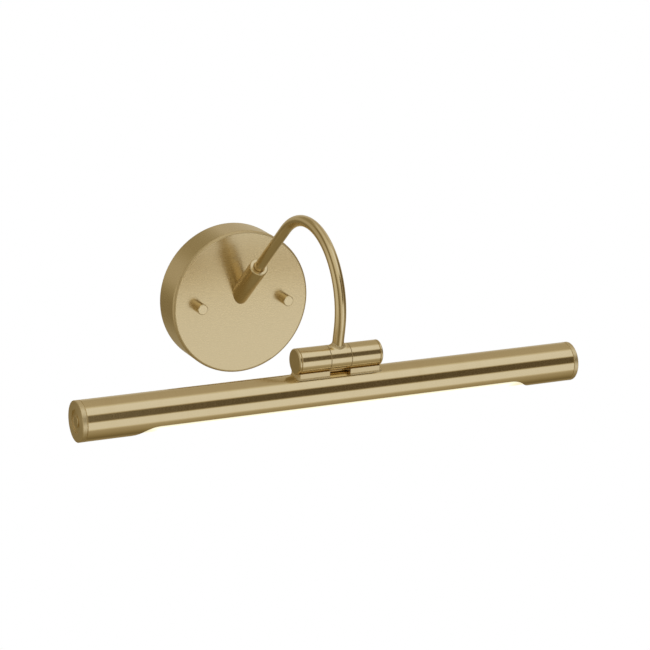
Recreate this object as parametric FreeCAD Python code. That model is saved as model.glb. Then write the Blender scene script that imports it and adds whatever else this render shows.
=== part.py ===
import FreeCAD, Part
import math
import os

# Picture light: a tilting lamp tube on a bent arm that grows out of a round wall canopy.
# Millimetres. The origin is the centre of the canopy's back face, which lies on the wall.
# +X runs along the lamp tube, +Y points into the wall and +Z is up.

V = FreeCAD.Vector
X_AXIS = V(1, 0, 0)
Z_AXIS = V(0, 0, 1)

# ---- driving dimensions ----
CANOPY_R = 55.0
CANOPY_DEPTH = 26.0
CANOPY_WALL = 1.2
CANOPY_EDGE_R = 2.0

STUD_X = 35.0
STUD_R = 2.0
CAP_NUT_R = 4.0
CAP_NUT_LENGTH = 9.0

STRAP_HALF_LENGTH = 48.0
STRAP_HALF_WIDTH = 10.0
STRAP_THICKNESS = 1.6
WALL_SLOT_X = 22.0
WALL_SLOT_R = 2.5
WALL_SLOT_LENGTH = 12.0
EARTH_X = 43.5
ENTRY_R = 4.0

ARM_R = 4.0
ARM_BORE_R = 3.0
ARM_BEND_R = 54.0
ARM_RISE_DEG = 42.5
ARM_LEAN_DEG = 8.0
ARM_FOOT_Y = -17.0
FERRULE_R = 7.0
FERRULE_RIM_R = 0.8
MOUTH_FLARE = 0.5
FERRULE_REACH = 52.0
ARM_SEAT_REACH = 24.0

PIVOT_Y = -184.0
PIVOT_Z = 4.7
BARREL_R = 9.0
BARREL_HALF = 32.0
CENTRE_HALF = 7.7
ROOT_FILLET_R = 3.3
NIPPLE_R = 4.0
NIPPLE_BORE_R = 2.8
NIPPLE_HALF = 21.5

TUBE_R = 14.0
TUBE_WALL = 1.0
TUBE_Z = -19.0
HEAD_HALF = 190.0
END_CAP_THICKNESS = 3.5
OPENING_FOOT_X = 159.0
OPENING_TOP_X = 134.5
OPENING_DROP = 5.8

LEAD_R = 1.6
WIRE_R = 1.1

# ---- clearances and small edges ----
RUNNING = 0.05
LOOSE = 0.1
SEAM = 0.25
CAP_SEAM = 0.4
EASED = 0.4
TINY = 1e-3
BEYOND = 200.0

# ---- sizes worked out from the driving dimensions ----
CANOPY_FACE_Y = -CANOPY_DEPTH
CANOPY_INNER_Y = CANOPY_WALL - CANOPY_DEPTH
STRAP_FACE_Y = -STRAP_THICKNESS
TUBE_INNER_R = TUBE_R - TUBE_WALL
TUBE_HALF = HEAD_HALF - END_CAP_THICKNESS
PIVOT = V(0, PIVOT_Y, PIVOT_Z)
TUBE_CENTRE = V(0, PIVOT_Y, TUBE_Z)
ARM_FOOT = V(0, ARM_FOOT_Y, 0)
RISE = V(0, -math.cos(math.radians(ARM_RISE_DEG)), math.sin(math.radians(ARM_RISE_DEG)))
DROP = V(0, math.sin(math.radians(ARM_LEAN_DEG)), -math.cos(math.radians(ARM_LEAN_DEG)))

# The joint, from the middle outwards.
WASHER_THICKNESS = 0.25
WASHER_RECESS = 0.12
WASHER_X = CENTRE_HALF + RUNNING
SLEEVE_X = WASHER_X + WASHER_THICKNESS + RUNNING
WEB_END_X = 14.0
CAVITY_R = 6.6
SPRING_THICKNESS = 1.0
NUT_X = WEB_END_X + RUNNING + SPRING_THICKNESS
NUT_THICKNESS = 4.5
NUT_CORNER_R = 6.2
CAP_FLANGE = 1.9
CAP_ROUND_R = 0.9
SLEEVE_END_X = BARREL_HALF - CAP_FLANGE

# The head, measured from the tube's axis.
SINK_FLOOR = -3.5
SINK_R = TUBE_INNER_R - LOOSE
SINK_HALF = TUBE_HALF - 6.0
SINK_WEB = 3.5
BOARD_THICKNESS = 1.0
BOARD_HALF_WIDTH = 9.0
BOARD_HALF = 148.0
CHIP_COUNT = 24
CHIP_PITCH = 12.0
CHIP_HEIGHT = 0.7
SCREW_X = 11.0
LEAD_DROP_X = -25.5
BOARD_SCREW_XS = (-120.0, -60.0, 60.0, 120.0)
BOARD_SCREW_R = 1.0
BOARD_SCREW_HEAD_R = 2.1
CAP_SCREW_R = 1.7
DIFFUSER_WALL = 1.4


# ---- shape helpers ----
def rod(radius, start, end):
    """A solid cylinder from one point to another."""
    run = end - start
    return Part.makeCylinder(radius, run.Length, start, run)


def ring(outer, inner, start, end):
    """A cylinder with a bore through it."""
    return rod(outer, start, end).cut(rod(inner, start, end))


def along_x(radius, x0, x1, centre):
    """A cylinder along X about the line through the centre."""
    return rod(radius, V(x0, centre.y, centre.z), V(x1, centre.y, centre.z))


def box(x0, x1, y0, y1, z0, z1):
    """A box between two values on each axis."""
    return Part.makeBox(x1 - x0, y1 - y0, z1 - z0, V(x0, y0, z0))


def hexagon(corner_r, start, end, bore_r):
    """A hexagon nut from start to end, with its bore."""
    run = end - start
    side = Z_AXIS if abs(run.z) < run.Length / 2 else X_AXIS
    turn = FreeCAD.Rotation(run, 60)
    corners = [side * corner_r]
    for _ in range(5):
        corners.append(turn.multVec(corners[-1]))
    outline = Part.makePolygon([start + c for c in corners + corners[:1]])
    return Part.Face(outline).extrude(run).cut(rod(bore_r, start, end))


def mirrored(shape):
    """The same shape on the other side of the middle plane."""
    return shape.mirror(V(0, 0, 0), X_AXIS)


def on_side(shape, side):
    """The left-hand shape for side -1 and its mirror image for side 1."""
    return shape if side < 0 else mirrored(shape)


def rounded_path(points, radii):
    """A wire of straight runs through the points, joined by tangent arcs."""
    edges = []
    start = points[0]
    for i, radius in enumerate(radii):
        corner = points[i + 1]
        before = (corner - start).normalize()
        after = (points[i + 2] - corner).normalize()
        half_turn = before.getAngle(after) / 2
        reach = radius * math.tan(half_turn)
        inward = (after - before).normalize()
        centre = corner + inward * (radius / math.cos(half_turn))
        first = corner - before * reach
        last = corner + after * reach
        if (first - start).Length > 1e-6:
            edges.append(Part.LineSegment(start, first).toShape())
        edges.append(Part.Arc(first, centre - inward * radius, last).toShape())
        start = last
    edges.append(Part.LineSegment(start, points[-1]).toShape())
    return Part.Wire(edges)


def swept(path, direction, radius):
    """A round bar of the given radius along a path that starts in the given direction."""
    start = path.OrderedVertexes[0].Point
    circle = Part.Wire(Part.makeCircle(radius, start, direction))
    return path.makePipeShell([circle], True, False)


# ---- wall strap and its fastenings ----
def slot_cut(x):
    """The cutter for one slot in the strap, long along X."""
    run = WALL_SLOT_LENGTH / 2 - WALL_SLOT_R
    ends = [rod(WALL_SLOT_R, V(x + dx, 1, 0), V(x + dx, -STRAP_THICKNESS - 1, 0)) for dx in (-run, run)]
    middle = box(x - run, x + run, -STRAP_THICKNESS - 1, 1, -WALL_SLOT_R, WALL_SLOT_R)
    return ends[0].fuse([ends[1], middle])


def wall_strap():
    strap = box(-STRAP_HALF_LENGTH, STRAP_HALF_LENGTH, STRAP_FACE_Y, 0, -STRAP_HALF_WIDTH, STRAP_HALF_WIDTH)
    upright = [e for e in strap.Edges if abs(e.tangentAt(e.FirstParameter).y) > 0.9]
    strap = strap.makeFillet(4.0, upright)
    for side in (-1, 1):
        strap = strap.cut(slot_cut(side * WALL_SLOT_X))
        strap = strap.cut(rod(STUD_R, V(side * STUD_X, 1, 0), V(side * STUD_X, STRAP_FACE_Y - 1, 0)))
    strap = strap.cut(rod(ENTRY_R + 2.0, V(0, 1, 0), V(0, STRAP_FACE_Y - 1, 0)))
    return strap.cut(rod(1.9, V(EARTH_X, 1, 0), V(EARTH_X, STRAP_FACE_Y - 1, 0)))


def strap_studs():
    tip_y = CANOPY_FACE_Y - CAP_NUT_LENGTH + 2.5
    return Part.makeCompound([rod(STUD_R, V(x, 0, 0), V(x, tip_y, 0)) for x in (-STUD_X, STUD_X)])


def stud_nuts():
    start_y = STRAP_FACE_Y
    end_y = STRAP_FACE_Y - 3.2
    return Part.makeCompound([hexagon(4.0, V(x, start_y, 0), V(x, end_y, 0), STUD_R + RUNNING)
                              for x in (-STUD_X, STUD_X)])


def cable_bush():
    sleeve = rod(ENTRY_R + 2.0, V(0, 0, 0), V(0, STRAP_FACE_Y, 0))
    flange = rod(ENTRY_R + 4.0, V(0, STRAP_FACE_Y, 0), V(0, STRAP_FACE_Y - 1.6, 0))
    rim = [e for e in flange.Edges if e.BoundBox.YMax < STRAP_FACE_Y - 1.5]
    bush = sleeve.fuse(flange.makeFillet(0.6, rim)).removeSplitter()
    return bush.cut(rod(ENTRY_R, V(0, 1, 0), V(0, STRAP_FACE_Y - 3, 0)))


def earth_screw():
    head = rod(3.4, V(EARTH_X, STRAP_FACE_Y - 0.9, 0), V(EARTH_X, STRAP_FACE_Y - 3.0, 0))
    slot = box(EARTH_X - 4, EARTH_X + 4, STRAP_FACE_Y - 4, STRAP_FACE_Y - 2.2, -0.4, 0.4)
    shank = rod(1.85, V(EARTH_X, 0, 0), V(EARTH_X, STRAP_FACE_Y - 0.9, 0))
    return head.cut(slot).fuse(shank).removeSplitter()


# ---- canopy ----
def canopy():
    cup = rod(CANOPY_R, V(0, 0, 0), V(0, CANOPY_FACE_Y, 0))
    front_edges = [e for e in cup.Edges if e.BoundBox.YMax < CANOPY_FACE_Y + TINY]
    cup = cup.makeFillet(CANOPY_EDGE_R, front_edges)
    hollow = rod(CANOPY_R - CANOPY_WALL, V(0, 0, 0), V(0, CANOPY_INNER_Y, 0))
    front_edges = [e for e in hollow.Edges if e.BoundBox.YMax < CANOPY_INNER_Y + TINY]
    hollow = hollow.makeFillet(CANOPY_EDGE_R - CANOPY_WALL, front_edges)
    cup = cup.cut(hollow)
    for x in (-STUD_X, STUD_X):
        cup = cup.cut(rod(STUD_R + 0.3, V(x, CANOPY_INNER_Y + 1, 0), V(x, CANOPY_FACE_Y - 1, 0)))
    return cup.cut(rod(ARM_BORE_R, ARM_FOOT, ARM_FOOT + RISE * 20))


def cap_nut(side):
    x = -STUD_X
    outer_y = CANOPY_FACE_Y - CAP_NUT_LENGTH
    nut = rod(CAP_NUT_R, V(x, CANOPY_FACE_Y, 0), V(x, outer_y, 0))
    rim = [e for e in nut.Edges if e.BoundBox.YMax < outer_y + TINY]
    nut = nut.makeChamfer(EASED, rim)
    thread = rod(STUD_R + RUNNING, V(x, CANOPY_FACE_Y + 1, 0), V(x, outer_y + 2.0, 0))
    return on_side(nut.cut(thread), side)


# ---- electrical parts inside the canopy ----
BLOCK_Y = (-17.0, -5.0)
BLOCK_Z = (16.0, 30.0)
POLE_XS = (-9.0, 0.0, 9.0)
DRIVER_X = 26.0
DRIVER_Y = (-21.8, -4.8)
DRIVER_Z = (-42.0, -14.0)


def terminal_block():
    mid_y = sum(BLOCK_Y) / 2
    mid_z = sum(BLOCK_Z) / 2
    block = box(-14.0, 14.0, BLOCK_Y[0], BLOCK_Y[1], BLOCK_Z[0] + 2, BLOCK_Z[1] - 2)
    for x in POLE_XS:
        turret = box(x - 3.6, x + 3.6, BLOCK_Y[0] + 1.5, BLOCK_Y[1] - 1, BLOCK_Z[0], BLOCK_Z[1])
        block = block.fuse(turret)
    for x in POLE_XS:
        block = block.cut(rod(2.2, V(x, mid_y, BLOCK_Z[0] - 1), V(x, mid_y, BLOCK_Z[1] + 1)))
        block = block.cut(rod(1.8, V(x, mid_y, mid_z), V(x, BLOCK_Y[1] + 1, mid_z)))
    return block.removeSplitter()


def terminal_screws():
    mid_y = sum(BLOCK_Y) / 2
    mid_z = sum(BLOCK_Z) / 2
    screws = []
    for x in POLE_XS:
        screw = rod(1.7, V(x, mid_y + 2.3, mid_z), V(x, BLOCK_Y[1] - 0.5, mid_z))
        screws.append(screw.cut(box(x - 2, x + 2, BLOCK_Y[1] - 1.4, BLOCK_Y[1], mid_z - 0.3, mid_z + 0.3)))
    return Part.makeCompound(screws)


def led_driver():
    case = box(-DRIVER_X, DRIVER_X, DRIVER_Y[0], DRIVER_Y[1], DRIVER_Z[0], DRIVER_Z[1])
    case = case.makeFillet(1.5, case.Edges)
    lip_y = DRIVER_Y[1] - 5.0
    groove = box(-DRIVER_X - 1, DRIVER_X + 1, lip_y - 0.4, lip_y, DRIVER_Z[0] - 1, DRIVER_Z[1] + 1)
    inset = 0.5
    kept = box(-DRIVER_X + inset, DRIVER_X - inset, DRIVER_Y[0], DRIVER_Y[1],
               DRIVER_Z[0] + inset, DRIVER_Z[1] - inset)
    return case.cut(groove.cut(kept))


def driver_pad():
    return box(-20, 20, CANOPY_INNER_Y, DRIVER_Y[0], DRIVER_Z[0] + 5, DRIVER_Z[1] - 5)


def supply_lead(pole_x, y, level_z, end_z):
    """One lead from under the terminal block, past the strap, to the driver's left end."""
    mid_y = sum(BLOCK_Y) / 2
    points = [V(pole_x, mid_y, BLOCK_Z[0] + 4), V(pole_x, mid_y, level_z + 4), V(-25.0, y, level_z),
              V(-33.0, y, end_z), V(-DRIVER_X, y, end_z)]
    path = rounded_path(points, (2.5, 4.0, 2.5))
    return swept(path, -Z_AXIS, WIRE_R)


def supply_lead_live():
    return supply_lead(POLE_XS[0], sum(BLOCK_Y) / 2, 7.0, -20.0)


def supply_lead_neutral():
    return supply_lead(POLE_XS[1], sum(BLOCK_Y) / 2 - 4.0, 5.5, -26.0)


def earth_lead():
    mid_y = sum(BLOCK_Y) / 2
    tag_y = STRAP_FACE_Y - 0.85
    tag = ring(3.6, 1.9, V(EARTH_X, STRAP_FACE_Y, 0), V(EARTH_X, tag_y, 0))
    tag = tag.fuse(box(EARTH_X - 1.5, EARTH_X + 1.5, tag_y, STRAP_FACE_Y, 3.0, 7.0))
    start = V(EARTH_X, tag_y - WIRE_R + 0.2, 4.8)
    points = [start, start + V(-1, -2, 6), V(36.0, -7.0, 22.0), V(18.0, mid_y, 36.0),
              V(POLE_XS[2], mid_y, 35.0), V(POLE_XS[2], mid_y, BLOCK_Z[1] - 4)]
    path = rounded_path(points, (5.0, 8.0, 4.0, 2.2))
    return tag.fuse(swept(path, points[1] - points[0], WIRE_R)).removeSplitter()


# ---- ferrule and arm ----
def ferrule():
    end = ARM_FOOT + RISE * FERRULE_REACH
    body = rod(FERRULE_R, ARM_FOOT, end)
    rim = [e for e in body.Edges if (e.CenterOfMass - end).Length < TINY and e.Closed]
    body = body.makeFillet(FERRULE_RIM_R, rim)
    body = body.cut(box(-20, 20, CANOPY_FACE_Y, 20, -40, 40))
    body = body.cut(rod(ARM_R + RUNNING, ARM_FOOT + RISE * ARM_SEAT_REACH, end))
    body = body.cut(rod(ARM_BORE_R, ARM_FOOT, end))
    mouth = Part.makeCone(ARM_R, ARM_R + MOUTH_FLARE, MOUTH_FLARE, end - RISE * MOUTH_FLARE, RISE)
    return body.cut(mouth).cut(rod(1.5, GRUB_START, GRUB_END))


GRUB_AT = ARM_FOOT + RISE * 38.0
GRUB_WAY = V(0, RISE.z, -RISE.y)
GRUB_START = GRUB_AT + GRUB_WAY * (ARM_R + RUNNING)
GRUB_END = GRUB_AT + GRUB_WAY * (FERRULE_R + 1.0)


def ferrule_grub_screw():
    outer = GRUB_AT + GRUB_WAY * (FERRULE_R - 0.3)
    screw = rod(1.45, GRUB_START, outer)
    return screw.cut(hexagon(0.85, outer - GRUB_WAY * 1.2, outer, TINY))


def arm_corner():
    """Where the arm's two straight runs would meet, high above the bend."""
    rise = math.radians(ARM_RISE_DEG)
    lean = math.radians(ARM_LEAN_DEG)
    reach = ((ARM_FOOT_Y - PIVOT_Y) * math.cos(lean) - PIVOT_Z * math.sin(lean)) / math.cos(rise + lean)
    return ARM_FOOT + RISE * reach


def gooseneck_arm():
    start = ARM_FOOT + RISE * ARM_SEAT_REACH
    end = PIVOT - DROP * (NIPPLE_R + 1.2)
    path = rounded_path([start, arm_corner(), end], (ARM_BEND_R,))
    return swept(path, RISE, ARM_R).cut(swept(path, RISE, ARM_BORE_R))


def arm_lead():
    """The lead leaves the driver, turns up into the ferrule, and ends inside the hollow axle."""
    turn_in = ARM_FOOT - RISE * 6.0
    points = [V(18.0, turn_in.y, DRIVER_Z[1]), V(18.0, turn_in.y, turn_in.z), turn_in,
              arm_corner(), PIVOT, PIVOT - X_AXIS * (NIPPLE_HALF - 0.6)]
    path = rounded_path(points, (4.0, 6.0, ARM_BEND_R, 2.6))
    return swept(path, Z_AXIS, LEAD_R)


# ---- tilt joint ----
def lead_window():
    """The slot that lets the lead turn from the arm into the axle."""
    return box(-5.5, 3.0, PIVOT_Y - 2.4, PIVOT_Y + 2.4, PIVOT_Z, PIVOT_Z + NIPPLE_R + 1.0)


def is_arm_root(edge):
    """The edges where the arm's stub rises from the barrel."""
    box_of = edge.BoundBox
    near_top = box_of.ZMin > PIVOT_Z + ARM_R and box_of.ZMax < PIVOT_Z + BARREL_R + 2
    return near_top and ARM_R < box_of.XLength < 2 * ARM_R + 0.1


def knuckle_centre():
    body = along_x(BARREL_R, -CENTRE_HALF, CENTRE_HALF, PIVOT)
    stub = rod(ARM_R, PIVOT, PIVOT - DROP * 20)
    joined = body.fuse(stub)
    joined = joined.makeFillet(ROOT_FILLET_R, [e for e in joined.Edges if is_arm_root(e)])
    joined = joined.cut(rod(ARM_R + 0.02, PIVOT - DROP * (NIPPLE_R + 1.2), PIVOT - DROP * 21))
    joined = joined.cut(rod(ARM_BORE_R, PIVOT, PIVOT - DROP * 10))
    joined = joined.cut(lead_window())
    return joined.cut(along_x(NIPPLE_R + RUNNING, -CENTRE_HALF - 1, CENTRE_HALF + 1, PIVOT))


def knuckle_nipple():
    axle = along_x(NIPPLE_R, -NIPPLE_HALF, NIPPLE_HALF, PIVOT)
    axle = axle.makeChamfer(0.5, [e for e in axle.Edges if e.BoundBox.XLength < TINY])
    axle = axle.cut(along_x(NIPPLE_BORE_R, -NIPPLE_HALF - 1, NIPPLE_HALF + 1, PIVOT))
    return axle.cut(lead_window())


def washer(side, inner_x, thickness, outer_r):
    start = V(-inner_x, PIVOT_Y, PIVOT_Z)
    return on_side(ring(outer_r, NIPPLE_R + LOOSE, start, start - X_AXIS * thickness), side)


def friction_washer(side):
    return washer(side, WASHER_X, WASHER_THICKNESS, BARREL_R - WASHER_RECESS)


def spring_washer(side):
    return washer(side, WEB_END_X + RUNNING, SPRING_THICKNESS - RUNNING, NUT_CORNER_R - 0.2)


def nipple_nut(side):
    start = V(-NUT_X, PIVOT_Y, PIVOT_Z)
    return on_side(hexagon(NUT_CORNER_R, start, start - X_AXIS * NUT_THICKNESS, NIPPLE_R + RUNNING), side)


def knuckle_sleeve(side):
    body = along_x(BARREL_R, -SLEEVE_END_X, -SLEEVE_X, PIVOT)
    outer_end = [e for e in body.Edges if e.BoundBox.XMax < -SLEEVE_X - 1 and e.Closed]
    body = body.makeChamfer(CAP_SEAM, outer_end)
    body = body.cut(along_x(NIPPLE_R + RUNNING, -WEB_END_X - 1, 0, PIVOT))
    body = body.cut(along_x(CAVITY_R, -BARREL_HALF, -WEB_END_X, PIVOT))
    body = body.cut(bracket_screw_shank(LOOSE, -1))
    if side < 0:
        return body.cut(lead_drop_hole())
    return mirrored(body)


def knuckle_cap(side):
    flange = along_x(BARREL_R, -BARREL_HALF, -SLEEVE_END_X, PIVOT)
    outer = [e for e in flange.Edges if e.BoundBox.XMax < -BARREL_HALF + TINY and e.Closed]
    flange = flange.makeFillet(CAP_ROUND_R, outer)
    inner = [e for e in flange.Edges if e.BoundBox.XMin > -SLEEVE_END_X - TINY and e.Closed]
    flange = flange.makeChamfer(CAP_SEAM, inner)
    plug = along_x(CAVITY_R - RUNNING, -SLEEVE_END_X, -SLEEVE_END_X + 2.6, PIVOT)
    return on_side(flange.fuse(plug).removeSplitter(), side)


# ---- bracket between the joint and the lamp tube ----
LEG_HALF_THICKNESS = 6.8
LEG_RISE = 2.3
LEG_FILLET_R = 1.8
LEG_CORNER_R = 0.8
LEG_OUTER_X = 31.0
LEG_INNER_X = CENTRE_HALF + 0.2
BRACKET_SCREW_R = 1.5
BRACKET_HEAD_R = 2.7
BRACKET_KEY_R = 1.2
BRACKET_KEY_DEPTH = 1.2
SCREW_TIP_Z = PIVOT_Z - NIPPLE_R - 1.0
SCREW_HEAD_TOP = SINK_FLOOR + 2.4


def bracket_screw_shank(extra, side):
    x = side * SCREW_X
    return rod(BRACKET_SCREW_R + extra, V(x, PIVOT_Y, TUBE_Z + SCREW_HEAD_TOP), V(x, PIVOT_Y, SCREW_TIP_Z))


def lead_drop_hole():
    low_z = TUBE_Z + SINK_FLOOR - 1
    return rod(LEAD_R + 0.6, V(LEAD_DROP_X, PIVOT_Y, PIVOT_Z), V(LEAD_DROP_X, PIVOT_Y, low_z))


def is_leg_foot(edge):
    """The edges where the raw leg meets the lamp tube."""
    points = [v.Point - V(v.Point.x, PIVOT_Y, TUBE_Z) for v in edge.Vertexes]
    on_tube = all(p.z > 0 and abs(p.Length - TUBE_R) < 0.01 for p in points)
    return on_tube and edge.BoundBox.XMax < BARREL_HALF


def bracket_leg(side):
    """A block with a soft foot on the tube, hollowed for the barrel above it and cut square inside."""
    past_inner = BARREL_HALF
    leg = box(-LEG_OUTER_X, past_inner, PIVOT_Y - LEG_HALF_THICKNESS, PIVOT_Y + LEG_HALF_THICKNESS,
              TUBE_Z + 8, TUBE_Z + TUBE_R + LEG_RISE)
    outer = [e for e in leg.Edges if abs(e.tangentAt(e.FirstParameter).z) > 0.9 and e.BoundBox.XMax < 0]
    leg = leg.makeFillet(LEG_CORNER_R, outer)
    block = leg.fuse(along_x(TUBE_R, -2 * BARREL_HALF, past_inner, TUBE_CENTRE)).removeSplitter()
    leg = block.makeFillet(LEG_FILLET_R, [e for e in block.Edges if is_leg_foot(e)])
    leg = leg.cut(along_x(BARREL_R, -BARREL_HALF - 1, past_inner + 1, PIVOT))
    leg = leg.cut(along_x(TUBE_R, -2 * BARREL_HALF - 1, past_inner + 1, TUBE_CENTRE))
    leg = leg.cut(box(-LEG_INNER_X, past_inner + 1, PIVOT_Y - 20, PIVOT_Y + 20, TUBE_Z, PIVOT_Z + 1))
    leg = leg.cut(bracket_screw_shank(LOOSE, -1))
    if side < 0:
        return leg.cut(lead_drop_hole())
    return mirrored(leg)


def bracket_screws():
    screws = []
    for side in (-1, 1):
        x = side * SCREW_X
        foot = V(x, PIVOT_Y, TUBE_Z + SINK_FLOOR + 0.2)
        head = rod(BRACKET_HEAD_R, foot, V(x, PIVOT_Y, TUBE_Z + SCREW_HEAD_TOP))
        recess = hexagon(BRACKET_KEY_R, foot, foot + Z_AXIS * BRACKET_KEY_DEPTH, TINY)
        screws.append(head.fuse(bracket_screw_shank(0, side)).removeSplitter().cut(recess))
    return Part.makeCompound(screws)


# ---- lamp tube ----
def opening_outline():
    """The side outline of the light opening: a flat top with a soft S at each end."""
    low = TUBE_Z - TUBE_R
    top = TUBE_Z - OPENING_DROP
    run = OPENING_FOOT_X - OPENING_TOP_X
    rise = top - low
    half_turn = math.atan2(rise, run)
    bend_r = (run / 2) / math.sin(2 * half_turn)
    middle = V((OPENING_FOOT_X + OPENING_TOP_X) / 2, 0, (low + top) / 2)
    foot = V(OPENING_FOOT_X, 0, low)
    head = V(OPENING_TOP_X, 0, top)
    foot_mid = V(foot.x - bend_r * math.sin(half_turn), 0, low + bend_r * (1 - math.cos(half_turn)))
    head_mid = V(head.x + bend_r * math.sin(half_turn), 0, top - bend_r * (1 - math.cos(half_turn)))
    edges = []
    for sign in (1, -1):
        points = [V(sign * p.x, 0, p.z) for p in (foot, foot_mid, middle, head_mid, head)]
        edges.append(Part.Arc(*points[:3]).toShape())
        edges.append(Part.Arc(*points[2:]).toShape())
    edges.append(Part.LineSegment(V(-OPENING_TOP_X, 0, top), V(OPENING_TOP_X, 0, top)).toShape())
    below = low - 5
    corners = [V(-OPENING_FOOT_X, 0, low), V(-OPENING_FOOT_X, 0, below),
               V(OPENING_FOOT_X, 0, below), V(OPENING_FOOT_X, 0, low)]
    for a, b in zip(corners, corners[1:]):
        edges.append(Part.LineSegment(a, b).toShape())
    return Part.Wire(Part.__sortEdges__(edges))


def lamp_tube():
    outer = along_x(TUBE_R, -TUBE_HALF, TUBE_HALF, TUBE_CENTRE)
    outer = outer.makeChamfer(SEAM, [e for e in outer.Edges if e.Closed])
    tube = outer.cut(along_x(TUBE_INNER_R, -TUBE_HALF - 1, TUBE_HALF + 1, TUBE_CENTRE))
    cutter = Part.Face(opening_outline()).extrude(V(0, 60, 0))
    cutter.translate(V(0, PIVOT_Y - 30, 0))
    tube = tube.cut(cutter)
    for side in (-1, 1):
        tube = tube.cut(bracket_screw_shank(LOOSE, side))
    return tube.cut(lead_drop_hole())


def heat_sink():
    body = along_x(SINK_R, -SINK_HALF, SINK_HALF, TUBE_CENTRE)
    low = box(-BEYOND, BEYOND, PIVOT_Y - 20, PIVOT_Y + 20, TUBE_Z - 20, TUBE_Z + SINK_FLOOR)
    body = body.cut(low)
    lobes = along_x(SINK_R - 1.7, -SINK_HALF - 1, SINK_HALF + 1, TUBE_CENTRE)
    lobes = lobes.cut(box(-BEYOND, BEYOND, PIVOT_Y - 20, PIVOT_Y + 20, TUBE_Z - 20, TUBE_Z - 0.8))
    lobes = lobes.cut(box(-BEYOND, BEYOND, PIVOT_Y - SINK_WEB, PIVOT_Y + SINK_WEB, TUBE_Z - 20, TUBE_Z + 20))
    body = body.cut(lobes)
    for side in (-1, 1):
        x = side * SCREW_X
        below = V(x, PIVOT_Y, TUBE_Z + SINK_FLOOR - 1)
        body = body.cut(rod(BRACKET_HEAD_R + 0.2, below, V(x, PIVOT_Y, TUBE_Z + SCREW_HEAD_TOP)))
        body = body.cut(bracket_screw_shank(LOOSE, side))
        screw_hole = along_x(CAP_SCREW_R + RUNNING, side * (SINK_HALF - 12), side * (SINK_HALF + 1), TUBE_CENTRE)
        body = body.cut(screw_hole)
    for x in BOARD_SCREW_XS:
        below = V(x, PIVOT_Y, TUBE_Z + SINK_FLOOR - 1)
        body = body.cut(rod(BOARD_SCREW_R + RUNNING, below, below + Z_AXIS * 5))
    return body.cut(lead_drop_hole())


def led_board():
    top = TUBE_Z + SINK_FLOOR
    board = box(-BOARD_HALF, BOARD_HALF, PIVOT_Y - BOARD_HALF_WIDTH, PIVOT_Y + BOARD_HALF_WIDTH,
                top - BOARD_THICKNESS, top)
    for x in BOARD_SCREW_XS:
        board = board.cut(rod(BOARD_SCREW_R + LOOSE, V(x, PIVOT_Y, top + 1), V(x, PIVOT_Y, top - 3)))
    return board


def led_chips():
    top = TUBE_Z + SINK_FLOOR - BOARD_THICKNESS
    first = -CHIP_PITCH * (CHIP_COUNT - 1) / 2
    chips = []
    for i in range(CHIP_COUNT):
        x = first + i * CHIP_PITCH
        chips.append(box(x - 1.75, x + 1.75, PIVOT_Y - 1.4, PIVOT_Y + 1.4, top - CHIP_HEIGHT, top))
    return Part.makeCompound(chips)


def board_screws():
    under = TUBE_Z + SINK_FLOOR - BOARD_THICKNESS
    screws = []
    for x in BOARD_SCREW_XS:
        head = rod(BOARD_SCREW_HEAD_R, V(x, PIVOT_Y, under), V(x, PIVOT_Y, under - 1.2))
        shank = rod(BOARD_SCREW_R, V(x, PIVOT_Y, under), V(x, PIVOT_Y, under + 4.5))
        slot = box(x - 1.5, x + 1.5, PIVOT_Y - 0.3, PIVOT_Y + 0.3, under - 2, under - 0.6)
        screws.append(head.fuse(shank).removeSplitter().cut(slot))
    return Part.makeCompound(screws)


def diffuser():
    """A trough with the tube's inner curve, closed at both ends."""
    half = OPENING_FOOT_X + 4
    outer_r = TUBE_INNER_R - LOOSE
    body = along_x(outer_r, -half, half, TUBE_CENTRE)
    inner_half = half - DIFFUSER_WALL
    body = body.cut(along_x(outer_r - DIFFUSER_WALL, -inner_half, inner_half, TUBE_CENTRE))
    above = box(-BEYOND, BEYOND, PIVOT_Y - 20, PIVOT_Y + 20, TUBE_Z + SINK_FLOOR - LOOSE, TUBE_Z + 20)
    return body.cut(above)


# ---- end caps ----
RECESS_R = 8.0
RECESS_DEPTH = 0.9
CAP_SCREW_HEAD_R = 4.0


def end_cap(side):
    cap = along_x(TUBE_R, -HEAD_HALF, -TUBE_HALF, TUBE_CENTRE)
    outer = [e for e in cap.Edges if e.BoundBox.XMax < -HEAD_HALF + TINY and e.Closed]
    cap = cap.makeFillet(EASED, outer)
    inner = [e for e in cap.Edges if e.BoundBox.XMin > -TUBE_HALF - TINY and e.Closed]
    cap = cap.makeChamfer(SEAM, inner)
    spigot = along_x(TUBE_INNER_R - RUNNING, -TUBE_HALF, -SINK_HALF - LOOSE, TUBE_CENTRE)
    cap = cap.fuse(spigot).removeSplitter()
    cap = cap.cut(along_x(RECESS_R, -HEAD_HALF - 1, -HEAD_HALF + RECESS_DEPTH, TUBE_CENTRE))
    return on_side(cap.cut(along_x(CAP_SCREW_R + EASED, -HEAD_HALF, -SINK_HALF + 1, TUBE_CENTRE)), side)


def end_cap_screw(side):
    head = along_x(CAP_SCREW_HEAD_R, -HEAD_HALF, -HEAD_HALF + RECESS_DEPTH, TUBE_CENTRE)
    rim = [e for e in head.Edges if e.BoundBox.XMax < -HEAD_HALF + TINY and e.Closed]
    head = head.makeFillet(0.3, rim)
    shank = along_x(CAP_SCREW_R, -HEAD_HALF + RECESS_DEPTH, -SINK_HALF + 10, TUBE_CENTRE)
    return on_side(head.fuse(shank).removeSplitter(), side)


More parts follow.
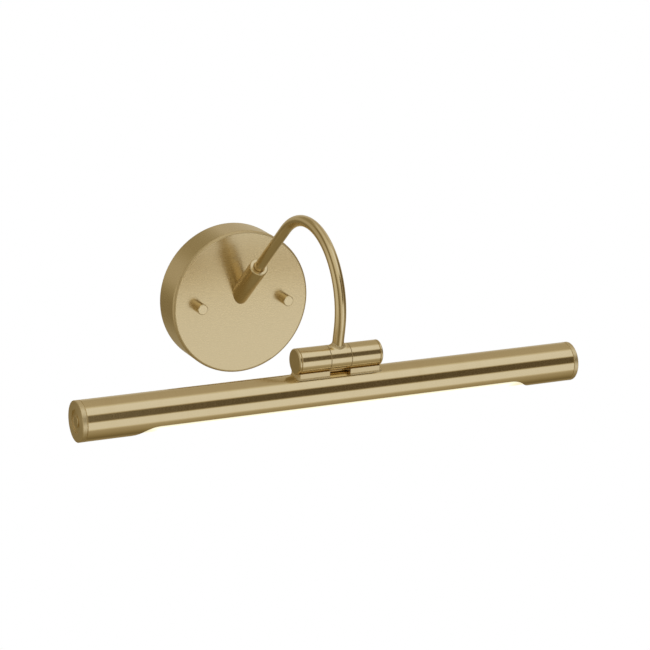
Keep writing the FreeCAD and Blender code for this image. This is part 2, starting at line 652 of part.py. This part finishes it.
def head_lead():
    start = PIVOT - X_AXIS * (NIPPLE_HALF + 0.9)
    corner = V(LEAD_DROP_X, PIVOT_Y, PIVOT_Z)
    path = rounded_path([start, corner, V(LEAD_DROP_X, PIVOT_Y, TUBE_Z + SINK_FLOOR)], (2.6,))
    return swept(path, V(-1, 0, 0), LEAD_R)


# ---- every sub-part, by node name ----
SINGLE_PARTS = (wall_strap, strap_studs, stud_nuts, cable_bush, earth_screw, canopy, terminal_block,
                terminal_screws, led_driver, driver_pad, supply_lead_live, supply_lead_neutral,
                earth_lead, ferrule, ferrule_grub_screw, gooseneck_arm, arm_lead, knuckle_centre,
                knuckle_nipple, bracket_screws, lamp_tube, heat_sink, led_board, led_chips,
                board_screws, diffuser, head_lead)
SIDE_PARTS = (cap_nut, friction_washer, spring_washer, nipple_nut, knuckle_sleeve, knuckle_cap,
              bracket_leg, end_cap, end_cap_screw)


def export(name, shape):
    if not shape.isValid():
        raise RuntimeError(name + " is not a valid shape")
    solids = len(shape.Solids)
    print(f"{name}: {solids} solid(s), {shape.Volume:.0f} mm3")
    shape.exportStep(os.path.join("parts", name + ".step"))


os.makedirs("parts", exist_ok=True)
for make in SINGLE_PARTS:
    export(make.__name__, make())
for make in SIDE_PARTS:
    for side, word in ((-1, "left"), (1, "right")):
        export(make.__name__ + "_" + word, make(side))
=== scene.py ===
import math

import bpy
from mathutils import Matrix, Vector


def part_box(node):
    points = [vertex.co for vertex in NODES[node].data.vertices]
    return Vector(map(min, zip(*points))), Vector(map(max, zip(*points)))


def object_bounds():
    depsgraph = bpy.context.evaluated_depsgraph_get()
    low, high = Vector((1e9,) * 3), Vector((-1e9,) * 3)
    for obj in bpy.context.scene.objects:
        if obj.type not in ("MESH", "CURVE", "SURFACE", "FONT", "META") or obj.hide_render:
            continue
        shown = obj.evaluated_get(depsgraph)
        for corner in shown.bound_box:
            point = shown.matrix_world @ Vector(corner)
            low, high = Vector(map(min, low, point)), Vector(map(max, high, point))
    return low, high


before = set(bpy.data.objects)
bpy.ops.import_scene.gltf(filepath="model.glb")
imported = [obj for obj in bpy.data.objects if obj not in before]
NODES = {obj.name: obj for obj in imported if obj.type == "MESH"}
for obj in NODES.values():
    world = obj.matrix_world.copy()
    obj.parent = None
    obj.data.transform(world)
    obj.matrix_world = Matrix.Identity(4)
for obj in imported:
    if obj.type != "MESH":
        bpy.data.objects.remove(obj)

CAD_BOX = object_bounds()

# ---------------------------------------------------------------- camera values
CAMERA_AZIMUTH = math.radians(-27.097)
CAMERA_ELEVATION = math.radians(16.816)
CAMERA_ROLL = math.radians(2.19)
CAMERA_DISTANCE = 1.624237
CAMERA_AIM = Vector((0.038521, -0.0896, -0.003434))
CAMERA_LENS = 122.822
CAMERA_SENSOR = 36.0

# ---------------------------------------------------------------- studio values
FLOOR_HALF = 9.0
FLOOR_DROP = 0.30
WHITE = (1.0, 1.0, 1.0, 1.0)

# ---------------------------------------------------------------- lamp values, in metres
DIFFUSER_SILL = 0.0058      # how far below the tube's axis its lower front edge is
GLOW_DEPTH = 0.0050         # how far down the diffuser the warm edge fades out
GLOW_END = 0.012            # the same along the tube, at both ends of the opening
OPENING_HALF = 0.1345       # half the length of the opening's flat top edge
GLOW_MIDDLE = 1.7           # how bright the diffuser is in its middle
GLOW_RIM = 1.0              # the same at its edges
LED_GLOW = 4.0
EDGE_ROUND = 0.0004         # the radius that the shaders give to sharp edges
EDGE_ROUGHNESS = 0.55       # how dull the finish is on soft corners
ROOT_BLUR = 0.0006          # the height over which the arm's root turns dull

# ---------------------------------------------------------------- brass tones
BRASS_DARK = (0.750, 0.628, 0.395, 1.0)
BRASS_LIGHT = (0.815, 0.692, 0.448, 1.0)
BRASS_TARNISH = (0.735, 0.600, 0.360, 1.0)
BRASS_WORN = (0.860, 0.745, 0.510, 1.0)
TARNISH = 0.30              # how much of the tarnished tone shows in the cloudy patches
WEAR = 0.5                  # how much of the worn tone shows on the edges
GLOSS_CHANGE = 0.02         # how far the grain moves the roughness, each way
BRASS_GRAIN_DEPTH = 0.00004


# ---------------------------------------------------------------- node helpers
class Tree:
    """A short way to write a shader tree: every call adds one node and returns its first output."""

    def __init__(self, node_tree):
        self.tree = node_tree
        self.tree.nodes.clear()

    def add(self, kind, inputs=None, **settings):
        node = self.tree.nodes.new(kind)
        for key, value in settings.items():
            setattr(node, key, value)
        for key, value in (inputs or {}).items():
            self.feed(node.inputs[key], value)
        return node

    def feed(self, socket, value):
        if isinstance(value, bpy.types.NodeSocket):
            self.tree.links.new(value, socket)
        else:
            socket.default_value = value

    def maths(self, operation, first, second=0.0, clamp=False):
        node = self.add("ShaderNodeMath", {0: first, 1: second}, operation=operation, use_clamp=clamp)
        return node.outputs[0]

    def dot(self, first, second):
        node = self.add("ShaderNodeVectorMath", {0: first, 1: second}, operation="DOT_PRODUCT")
        return node.outputs["Value"]

    def span(self, value, low, high, out_low=0.0, out_high=1.0, smooth=True):
        """value taken from low..high to out_low..out_high, held at both ends."""
        kind = "SMOOTHSTEP" if smooth else "LINEAR"
        sockets = {"Value": value, "From Min": low, "From Max": high,
                   "To Min": out_low, "To Max": out_high}
        return self.add("ShaderNodeMapRange", sockets, interpolation_type=kind).outputs[0]

    def blend(self, factor, first, second):
        """first where factor is 0, second where it is 1, for plain numbers."""
        node = self.add("ShaderNodeMix", data_type="FLOAT")
        self.feed(node.inputs[0], factor)
        self.feed(node.inputs[2], first)
        self.feed(node.inputs[3], second)
        return node.outputs[0]

    def mix(self, factor, first, second, blend="MIX"):
        node = self.add("ShaderNodeMix", data_type="RGBA", blend_type=blend)
        self.feed(node.inputs[0], factor)
        self.feed(node.inputs[6], first)
        self.feed(node.inputs[7], second)
        return node.outputs[2]

    def ramp(self, factor, stops, interpolation="LINEAR"):
        """A colour ramp through (position, colour) stops."""
        node = self.add("ShaderNodeValToRGB", {0: factor})
        ramp = node.color_ramp
        ramp.interpolation = interpolation
        while len(ramp.elements) < len(stops):
            ramp.elements.new(0.5)
        for element, (position, colour) in zip(ramp.elements, stops):
            element.position = position
            element.color = colour
        return node.outputs[0]

    def noise(self, vector, scale=1.0, detail=2.0, roughness=0.5):
        sockets = {"Vector": vector, "Scale": scale, "Detail": detail, "Roughness": roughness}
        return self.add("ShaderNodeTexNoise", sockets).outputs[0]

    def place(self):
        """The point's place in the node's own frame, in metres."""
        return self.add("ShaderNodeTexCoord").outputs["Object"]

    def scaled(self, vector, scale):
        return self.add("ShaderNodeMapping", {"Vector": vector, "Scale": scale}).outputs[0]

    def axes(self, vector):
        return self.add("ShaderNodeSeparateXYZ", {0: vector}).outputs

    def vector(self, x, y, z):
        return self.add("ShaderNodeCombineXYZ", {0: x, 1: y, 2: z}).outputs[0]


def rgb(red, green, blue):
    return (red, green, blue, 1.0)


def grey(value):
    return (value, value, value, 1.0)


# ---------------------------------------------------------------- studio
def aimed(azimuth, elevation):
    """A unit vector: azimuth 0 is the front, 90 the lamp's right, and elevation goes up, in degrees."""
    turn = math.radians(azimuth)
    rise = math.radians(elevation)
    return (math.sin(turn) * math.cos(rise), -math.cos(turn) * math.cos(rise), math.sin(rise))


def soft_disc(tree, direction, azimuth, elevation, inner, outer):
    """1 inside a round light of the given half angle, and 0 outside its soft edge."""
    facing = tree.dot(direction, aimed(azimuth, elevation))
    return tree.span(facing, math.cos(math.radians(outer)), math.cos(math.radians(inner)))


# Half angles and brightness of the studio's broad lights and dark flags, painted one over the other.
DISCS = [
    # azimuth, elevation, inner, outer, brightness
    (140.0, 45.0, 25.0, 60.0, 0.60),
    (-172.0, 34.0, 8.0, 26.0, 0.31),
    (-152.0, -21.0, 4.0, 25.0, 0.22),
    (-92.0, 2.0, 12.0, 40.0, 0.64),
    (20.0, -4.0, 22.0, 44.0, 0.66),
    (25.0, 50.0, 24.0, 52.0, 0.70),
    (80.0, 10.0, 14.0, 38.0, 0.14),
]
SURROUND = 0.44
UNDERSIDE = 0.25
OVERHEAD = 0.62
UNDER_SPAN = (0.25, 0.75)   # how far down a direction points while the underside fades in
OVER_SPAN = (0.50, 0.90)    # the same upwards, for the light overhead
FLAG = 0.20
FLAG_AZIMUTH = -118.0
FLAG_ELEVATION = -26.0
FLAG_OFFSET = 0.22
FLAG_CORE = 0.06
FLAG_EDGE = 0.36
FLAG_REACH = (-68.0, 20.0, 60.0, 85.0)      # azimuth, elevation, inner and outer half angle

# Two long strip lights run along the lamp, one level with it and one above, with a dark gap between them.
# Each stop is an angle from the front (0) over the top (90) and a brightness.
STRIPS = [(-180.0, 0.60), (-100.0, 0.17), (-45.0, 0.45), (-35.0, 0.80), (0.0, 0.80), (8.0, 0.09),
          (39.0, 0.09), (47.0, 0.80), (82.0, 0.82), (97.0, 0.46), (145.0, 0.44), (180.0, 0.60)]
STRIP_LEFT = (0.22, 0.32)
STRIP_RIGHT = (0.55, 0.74)

# The light's colour at each brightness: the studio's darker parts are warmer. A tone's brightness is its red.
LIGHT_TONES = [(0.0, 0.0, 0.0), (0.12, 0.086, 0.043), (0.25, 0.198, 0.100), (0.36, 0.302, 0.187),
               (0.52, 0.458, 0.350), (0.62, 0.572, 0.457), (0.70, 0.660, 0.548), (0.80, 0.795, 0.780),
               (1.0, 1.0, 1.0)]


def strip_lights(tree, axes):
    front = tree.maths("MULTIPLY", axes["Y"], -1.0)
    angle = tree.maths("ARCTAN2", axes["Z"], front)
    turn = tree.maths("ADD", tree.maths("DIVIDE", angle, 2.0 * math.pi), 0.5)
    stops = [((degrees + 180.0) / 360.0, grey(value)) for degrees, value in STRIPS]
    return tree.ramp(turn, stops)


def studio_light(tree, direction):
    """Brightness by direction, as the polished brass mirrors it."""
    axes = tree.axes(direction)
    under = tree.span(tree.maths("MULTIPLY", axes["Z"], -1.0), *UNDER_SPAN)
    value = tree.blend(under, SURROUND, UNDERSIDE)
    value = tree.blend(tree.span(axes["Z"], *OVER_SPAN), value, OVERHEAD)
    for azimuth, elevation, inner, outer, brightness in DISCS:
        disc = soft_disc(tree, direction, azimuth, elevation, inner, outer)
        value = tree.blend(disc, value, brightness)
    facing = tree.dot(direction, aimed(FLAG_AZIMUTH, FLAG_ELEVATION))
    off = tree.maths("ABSOLUTE", tree.maths("SUBTRACT", facing, FLAG_OFFSET))
    inside = tree.span(off, FLAG_EDGE, FLAG_CORE)
    reach = soft_disc(tree, direction, *FLAG_REACH)
    value = tree.blend(tree.maths("MULTIPLY", inside, reach), value, FLAG)
    ring = tree.maths("MULTIPLY", tree.span(axes["X"], *STRIP_LEFT),
                      tree.span(axes["X"], STRIP_RIGHT[1], STRIP_RIGHT[0]))
    return tree.blend(ring, value, strip_lights(tree, axes))


def make_world():
    """A studio of soft lights, seen only in reflections; the camera sees plain white."""
    world = bpy.data.worlds.new("studio")
    bpy.context.scene.world = world
    world.use_nodes = True
    tree = Tree(world.node_tree)
    direction = tree.add("ShaderNodeTexCoord").outputs["Generated"]
    tones = [(tone[0], rgb(*tone)) for tone in LIGHT_TONES]
    studio = tree.ramp(studio_light(tree, direction), tones)
    rays = tree.add("ShaderNodeLightPath")
    seen = tree.mix(rays.outputs["Is Camera Ray"], studio, WHITE)
    background = tree.add("ShaderNodeBackground", {"Color": seen, "Strength": 1.0})
    output = tree.add("ShaderNodeOutputWorld")
    tree.feed(output.inputs["Surface"], background.outputs[0])


def make_floor():
    """A plain white floor well below the lamp, which hangs on its wall mount."""
    low = CAD_BOX[0][2] - FLOOR_DROP
    corners = [(-FLOOR_HALF, -FLOOR_HALF, low), (FLOOR_HALF, -FLOOR_HALF, low),
               (FLOOR_HALF, FLOOR_HALF, low), (-FLOOR_HALF, FLOOR_HALF, low)]
    mesh = bpy.data.meshes.new("studio_floor")
    mesh.from_pydata(corners, [], [(0, 1, 2, 3)])
    floor = bpy.data.objects.new("studio_floor", mesh)
    bpy.context.scene.collection.objects.link(floor)
    material = bpy.data.materials.new("studio_floor")
    material.use_nodes = True
    tree = Tree(material.node_tree)
    glow = tree.add("ShaderNodeEmission", {"Color": WHITE, "Strength": 1.0})
    output = tree.add("ShaderNodeOutputMaterial")
    tree.feed(output.inputs["Surface"], glow.outputs[0])
    mesh.materials.append(material)
    floor.visible_glossy = False
    floor.visible_diffuse = False
    floor.visible_shadow = False


def make_camera():
    azimuth = CAMERA_AZIMUTH
    elevation = CAMERA_ELEVATION
    back = Vector((math.sin(azimuth) * math.cos(elevation), -math.cos(azimuth) * math.cos(elevation),
                   math.sin(elevation)))
    level = Vector((math.cos(azimuth), math.sin(azimuth), 0.0))
    upright = back.cross(level)
    right = level * math.cos(CAMERA_ROLL) + upright * math.sin(CAMERA_ROLL)
    up = upright * math.cos(CAMERA_ROLL) - level * math.sin(CAMERA_ROLL)
    turn = Matrix((right, up, back)).transposed().to_4x4()
    data = bpy.data.cameras.new("camera")
    data.lens = CAMERA_LENS
    data.sensor_width = CAMERA_SENSOR
    data.clip_end = 50.0
    camera = bpy.data.objects.new("camera", data)
    camera.matrix_world = Matrix.Translation(CAMERA_AIM + back * CAMERA_DISTANCE) @ turn
    bpy.context.scene.collection.objects.link(camera)
    bpy.context.scene.camera = camera


# ---------------------------------------------------------------- materials
def new_material(name):
    material = bpy.data.materials.new(name)
    material.use_nodes = True
    tree = Tree(material.node_tree)
    shader = tree.add("ShaderNodeBsdfPrincipled")
    output = tree.add("ShaderNodeOutputMaterial")
    tree.feed(output.inputs["Surface"], shader.outputs[0])
    return material, tree, shader


def rounded(tree):
    """The normal with sharp edges rounded off, and how much of an edge the point is on, from 0 to 1."""
    soft = tree.add("ShaderNodeBevel", {"Radius": EDGE_ROUND}, samples=4).outputs[0]
    plain = tree.add("ShaderNodeNewGeometry").outputs["Normal"]
    return soft, tree.span(tree.dot(soft, plain), 0.995, 0.90)


def finish_surface(tree, shader, height, strength, distance, soft):
    sockets = {"Height": height, "Strength": strength, "Distance": distance, "Normal": soft}
    bump = tree.add("ShaderNodeBump", sockets)
    tree.feed(shader.inputs["Normal"], bump.outputs[0])


def to_world(tree, vector):
    node = tree.add("ShaderNodeVectorTransform", {0: vector}, vector_type="VECTOR",
                    convert_from="OBJECT", convert_to="WORLD")
    return node.outputs[0]


def brass(name, fine, coarse, tangent=None, roughness=0.20, anisotropy=0.5, relief=0.05, contrast=1.0,
          blurred=None):
    """Satin brass. fine and coarse are the grain's scales along x, y and z; tangent(tree, place) is
    the way across the grain, in which reflections are drawn out; blurred(tree) is where it is duller."""
    material, tree, shader = new_material(name)
    place = tree.place()
    soft, edge = rounded(tree)
    grain = tree.noise(tree.scaled(place, fine), detail=3.0, roughness=0.6)
    cloud = tree.noise(tree.scaled(place, coarse), detail=2.0)
    shown = tree.span(grain, 0.0, 1.0, 0.5 - 0.5 * contrast, 0.5 + 0.5 * contrast, smooth=False)
    tone = tree.mix(shown, BRASS_DARK, BRASS_LIGHT)
    tarnish = tree.span(cloud, 0.45, 0.80, 0.0, TARNISH * contrast)
    tone = tree.mix(tarnish, tone, BRASS_TARNISH)
    tone = tree.mix(tree.maths("MULTIPLY", edge, WEAR), tone, BRASS_WORN)
    tree.feed(shader.inputs["Base Color"], tone)
    shader.inputs["Metallic"].default_value = 1.0
    change = GLOSS_CHANGE * contrast
    gloss = tree.span(grain, 0.2, 0.8, roughness - change, roughness + change)
    if blurred:
        gloss = tree.blend(blurred(tree), gloss, EDGE_ROUGHNESS)
    tree.feed(shader.inputs["Roughness"], gloss)
    if tangent:
        shader.inputs["Anisotropic"].default_value = anisotropy
        tree.feed(shader.inputs["Tangent"], to_world(tree, tangent(tree, place)))
    finish_surface(tree, shader, grain, relief, BRASS_GRAIN_DEPTH, soft)
    return material


def along_x(tree, place):
    return tree.vector(1.0, 0.0, 0.0)


def from_axis_of(name, tree, place):
    """Outward from the axis of a round node that lies along X, across the rings that turning leaves."""
    low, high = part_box(name)
    axes = tree.axes(place)
    out_y = tree.maths("SUBTRACT", axes["Y"], 0.5 * (low[1] + high[1]))
    out_z = tree.maths("SUBTRACT", axes["Z"], 0.5 * (low[2] + high[2]))
    return tree.vector(0.0, out_y, out_z)


def from_tube_axis(tree, place):
    return from_axis_of("lamp_tube", tree, place)


def from_pivot_axis(tree, place):
    return from_axis_of("knuckle_cap_left", tree, place)


def canopy_way(tree, place):
    """Up and down on the brushed face, and front to back on the turned rim."""
    normal = tree.axes(tree.add("ShaderNodeNewGeometry").outputs["Normal"])
    on_face = tree.span(tree.maths("ABSOLUTE", normal["Y"]), 0.4, 0.8)
    return tree.vector(0.0, tree.maths("SUBTRACT", 1.0, on_face), on_face)


def on_canopy_edge(tree):
    """1 on the rounding between the canopy's face and its rim."""
    normal = tree.axes(tree.add("ShaderNodeNewGeometry").outputs["Normal"])
    facing = tree.maths("ABSOLUTE", normal["Y"])
    return tree.maths("MULTIPLY", tree.span(facing, 0.02, 0.15), tree.span(facing, 0.998, 0.96))


def on_leg_foot(tree):
    """1 on the rounded edges of a leg, where it meets the tube."""
    normal = tree.axes(tree.add("ShaderNodeNewGeometry").outputs["Normal"])
    return tree.maths("MULTIPLY", tree.span(normal["Z"], 0.05, 0.20), tree.span(normal["Z"], 0.98, 0.90))


def on_arm_root(tree):
    """1 where the arm grows out of the pivot barrel, past the barrel's own radius."""
    low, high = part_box("knuckle_cap_left")
    radius = 0.5 * (high[2] - low[2])
    outward = from_pivot_axis(tree, tree.place())
    distance = tree.add("ShaderNodeVectorMath", {0: outward}, operation="LENGTH").outputs["Value"]
    return tree.span(distance, radius, radius + ROOT_BLUR)


def metal(name, dark, light, roughness, fine, coarse=(60.0, 60.0, 60.0), bump=0.10):
    """Plated or bare metal with a faint cloudiness and worn edges."""
    material, tree, shader = new_material(name)
    place = tree.place()
    soft, edge = rounded(tree)
    grain = tree.noise(tree.scaled(place, fine), detail=3.0, roughness=0.6)
    cloud = tree.noise(tree.scaled(place, coarse), detail=3.0)
    tone = tree.mix(tree.span(cloud, 0.3, 0.7), dark, light)
    tone = tree.mix(tree.maths("MULTIPLY", edge, 0.4), tone, grey(0.86))
    tree.feed(shader.inputs["Base Color"], tone)
    shader.inputs["Metallic"].default_value = 1.0
    tree.feed(shader.inputs["Roughness"], tree.span(grain, 0.2, 0.8, roughness - 0.06, roughness + 0.08))
    finish_surface(tree, shader, grain, bump, 0.00006, soft)
    return material


def moulded(name, dark, light, roughness, texture=2500.0, bump=0.25, depth=0.00005):
    """Plastic, rubber, paper or foam: a fine skin texture, slight unevenness of tone, rubbed edges."""
    material, tree, shader = new_material(name)
    place = tree.place()
    soft, edge = rounded(tree)
    skin = tree.noise(tree.scaled(place, (texture, texture, texture)), detail=4.0, roughness=0.65)
    cloud = tree.noise(tree.scaled(place, (90.0, 90.0, 90.0)), detail=2.0)
    tone = tree.mix(tree.span(cloud, 0.3, 0.7), dark, light)
    tone = tree.mix(tree.maths("MULTIPLY", edge, 0.25), tone, light)
    tree.feed(shader.inputs["Base Color"], tone)
    tree.feed(shader.inputs["Roughness"], tree.span(skin, 0.2, 0.8, roughness - 0.07, roughness + 0.07))
    finish_surface(tree, shader, skin, bump, depth, soft)
    return material


def earth_lead_material():
    """Green PVC with the yellow stripe of an earth wire along it."""
    material, tree, shader = new_material("pvc_green_yellow")
    normal = tree.axes(tree.add("ShaderNodeNewGeometry").outputs["Normal"])
    stripe = tree.span(tree.maths("ABSOLUTE", normal["X"]), 0.60, 0.66)
    skin = tree.noise(tree.scaled(tree.place(), (1500.0, 1500.0, 1500.0)), detail=3.0)
    green = tree.mix(skin, rgb(0.015, 0.170, 0.045), rgb(0.025, 0.240, 0.065))
    tree.feed(shader.inputs["Base Color"], tree.mix(stripe, green, rgb(0.80, 0.60, 0.03)))
    tree.feed(shader.inputs["Roughness"], tree.span(skin, 0.2, 0.8, 0.38, 0.50))
    finish_surface(tree, shader, skin, 0.2, 0.00003, tree.add("ShaderNodeNewGeometry").outputs["Normal"])
    return material


def led_material():
    """Yellow phosphor under a glossy drop of silicone, lit."""
    material, tree, shader = new_material("led_phosphor")
    grain = tree.noise(tree.scaled(tree.place(), (4000.0, 4000.0, 4000.0)), detail=3.0)
    tone = tree.mix(grain, rgb(0.86, 0.66, 0.14), rgb(0.95, 0.78, 0.24))
    tree.feed(shader.inputs["Base Color"], tone)
    tree.feed(shader.inputs["Emission Color"], rgb(1.0, 0.82, 0.48))
    shader.inputs["Emission Strength"].default_value = LED_GLOW
    tree.feed(shader.inputs["Roughness"], tree.span(grain, 0.2, 0.8, 0.22, 0.34))
    return material


def diffuser_material():
    """Opal strip lit from behind: white in its middle, warmer and dimmer along its edges and ends."""
    material, tree, shader = new_material("opal_lit")
    low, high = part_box("lamp_tube")
    sill = 0.5 * (low[2] + high[2]) - DIFFUSER_SILL
    middle = 0.5 * (low[0] + high[0])
    place = tree.place()
    axes = tree.axes(place)
    along = tree.maths("ABSOLUTE", tree.maths("SUBTRACT", axes["X"], middle))
    near_end = tree.span(along, OPENING_HALF - GLOW_END, OPENING_HALF + GLOW_END)
    near_edge = tree.span(axes["Z"], sill - GLOW_DEPTH, sill)
    warm = tree.maths("MAXIMUM", near_end, near_edge)
    tone = tree.mix(warm, rgb(1.0, 0.97, 0.86), rgb(0.77, 0.72, 0.52))
    skin = tree.noise(tree.scaled(place, (1800.0, 1800.0, 1800.0)), detail=3.0)
    tree.feed(shader.inputs["Base Color"], tree.mix(skin, rgb(0.50, 0.49, 0.46), rgb(0.56, 0.55, 0.52)))
    tree.feed(shader.inputs["Emission Color"], tone)
    tree.feed(shader.inputs["Emission Strength"], tree.span(warm, 0.0, 1.0, GLOW_MIDDLE, GLOW_RIM))
    tree.feed(shader.inputs["Roughness"], tree.span(skin, 0.2, 0.8, 0.42, 0.54))
    return material


def dress(material, *names):
    for name in names:
        node = NODES[name]
        node.data.materials.clear()
        node.data.materials.append(material)


def even(scale):
    """The same grain scale along x, y and z."""
    return (scale, scale, scale)


def dress_brass():
    around = ((2600.0, 60.0, 60.0), (90.0, 20.0, 20.0))
    tube = brass("brass_turned_tube", *around, along_x, roughness=0.14, anisotropy=0.7)
    dress(tube, "lamp_tube")
    barrel = brass("brass_turned_barrel", *around, along_x, roughness=0.18, anisotropy=0.6,
                   blurred=on_arm_root)
    dress(barrel, "knuckle_centre", "knuckle_sleeve_left", "knuckle_sleeve_right")
    cap = brass("brass_turned_cap", *around, from_pivot_axis, roughness=0.17, anisotropy=0.5)
    dress(cap, "knuckle_cap_left", "knuckle_cap_right")
    end = brass("brass_turned_end", *around, from_tube_axis, roughness=0.34, anisotropy=0.6)
    dress(end, "end_cap_left", "end_cap_right")
    face = brass("brass_brushed_face", (160.0, 160.0, 6000.0), (18.0, 18.0, 60.0), canopy_way, roughness=0.27,
                 anisotropy=0.3, relief=0.004, contrast=0.3, blurred=on_canopy_edge)
    dress(face, "canopy")
    legs = brass("brass_brushed_legs", (900.0, 200.0, 200.0), (60.0, 30.0, 30.0), along_x, roughness=0.32,
                 anisotropy=0.5, blurred=on_leg_foot)
    dress(legs, "bracket_leg_left", "bracket_leg_right")
    drawn = brass("brass_drawn_tube", even(400.0), even(30.0), roughness=0.17)
    dress(drawn, "gooseneck_arm")
    ferrule = brass("brass_turned_ferrule", even(700.0), even(50.0), roughness=0.24)
    dress(ferrule, "ferrule")
    small = brass("brass_small_parts", even(1500.0), even(90.0), roughness=0.20)
    dress(small, "cap_nut_left", "cap_nut_right", "end_cap_screw_left", "end_cap_screw_right",
          "knuckle_nipple", "nipple_nut_left", "nipple_nut_right")


def dress_metal():
    zinc = metal("steel_zinc", rgb(0.50, 0.51, 0.52), rgb(0.66, 0.67, 0.68), 0.36, even(1200.0))
    dress(zinc, "wall_strap", "strap_studs", "stud_nuts", "spring_washer_left", "spring_washer_right",
          "bracket_screws", "board_screws", "ferrule_grub_screw", "earth_screw")
    nickel = metal("steel_nickel", rgb(0.60, 0.585, 0.55), rgb(0.72, 0.70, 0.66), 0.24, even(2200.0))
    dress(nickel, "terminal_screws")
    extruded = metal("aluminium_extruded", rgb(0.66, 0.665, 0.67), rgb(0.78, 0.785, 0.79), 0.30,
                     (20.0, 2600.0, 2600.0), (12.0, 300.0, 300.0))
    dress(extruded, "heat_sink")


def dress_plastics():
    mask = moulded("solder_mask_white", rgb(0.74, 0.75, 0.72), rgb(0.82, 0.83, 0.80), 0.34, 1200.0, 0.15)
    dress(mask, "led_board")
    case = moulded("polycarbonate_white", rgb(0.70, 0.70, 0.67), rgb(0.78, 0.78, 0.75), 0.46)
    dress(case, "led_driver")
    block = moulded("polyamide_white", rgb(0.76, 0.75, 0.70), rgb(0.83, 0.82, 0.78), 0.40)
    dress(block, "terminal_block")
    foam = moulded("foam_grey", rgb(0.045, 0.045, 0.048), rgb(0.075, 0.075, 0.080), 0.88, 1400.0,
                   bump=0.9, depth=0.0004)
    dress(foam, "driver_pad")
    rubber = moulded("rubber_black", rgb(0.018, 0.018, 0.019), rgb(0.034, 0.034, 0.036), 0.62, 1800.0)
    dress(rubber, "cable_bush")
    fibre = moulded("fibre_brown", rgb(0.420, 0.300, 0.150), rgb(0.520, 0.380, 0.200), 0.60, 1100.0)
    dress(fibre, "friction_washer_left", "friction_washer_right")
    clear = moulded("pvc_clear", rgb(0.62, 0.60, 0.54), rgb(0.72, 0.70, 0.64), 0.30, 1500.0)
    dress(clear, "arm_lead", "head_lead")
    brown = moulded("pvc_brown", rgb(0.120, 0.045, 0.018), rgb(0.165, 0.065, 0.026), 0.40, 1500.0)
    dress(brown, "supply_lead_live")
    blue = moulded("pvc_blue", rgb(0.020, 0.085, 0.330), rgb(0.030, 0.125, 0.440), 0.40, 1500.0)
    dress(blue, "supply_lead_neutral")
    dress(earth_lead_material(), "earth_lead")


def dress_light():
    dress(led_material(), "led_chips")
    dress(diffuser_material(), "diffuser")


def set_looks():
    bpy.context.scene.view_settings.view_transform = "Standard"
    bpy.context.scene.view_settings.look = "None"


make_camera()
make_world()
make_floor()
set_looks()
dress_brass()
dress_metal()
dress_plastics()
dress_light()
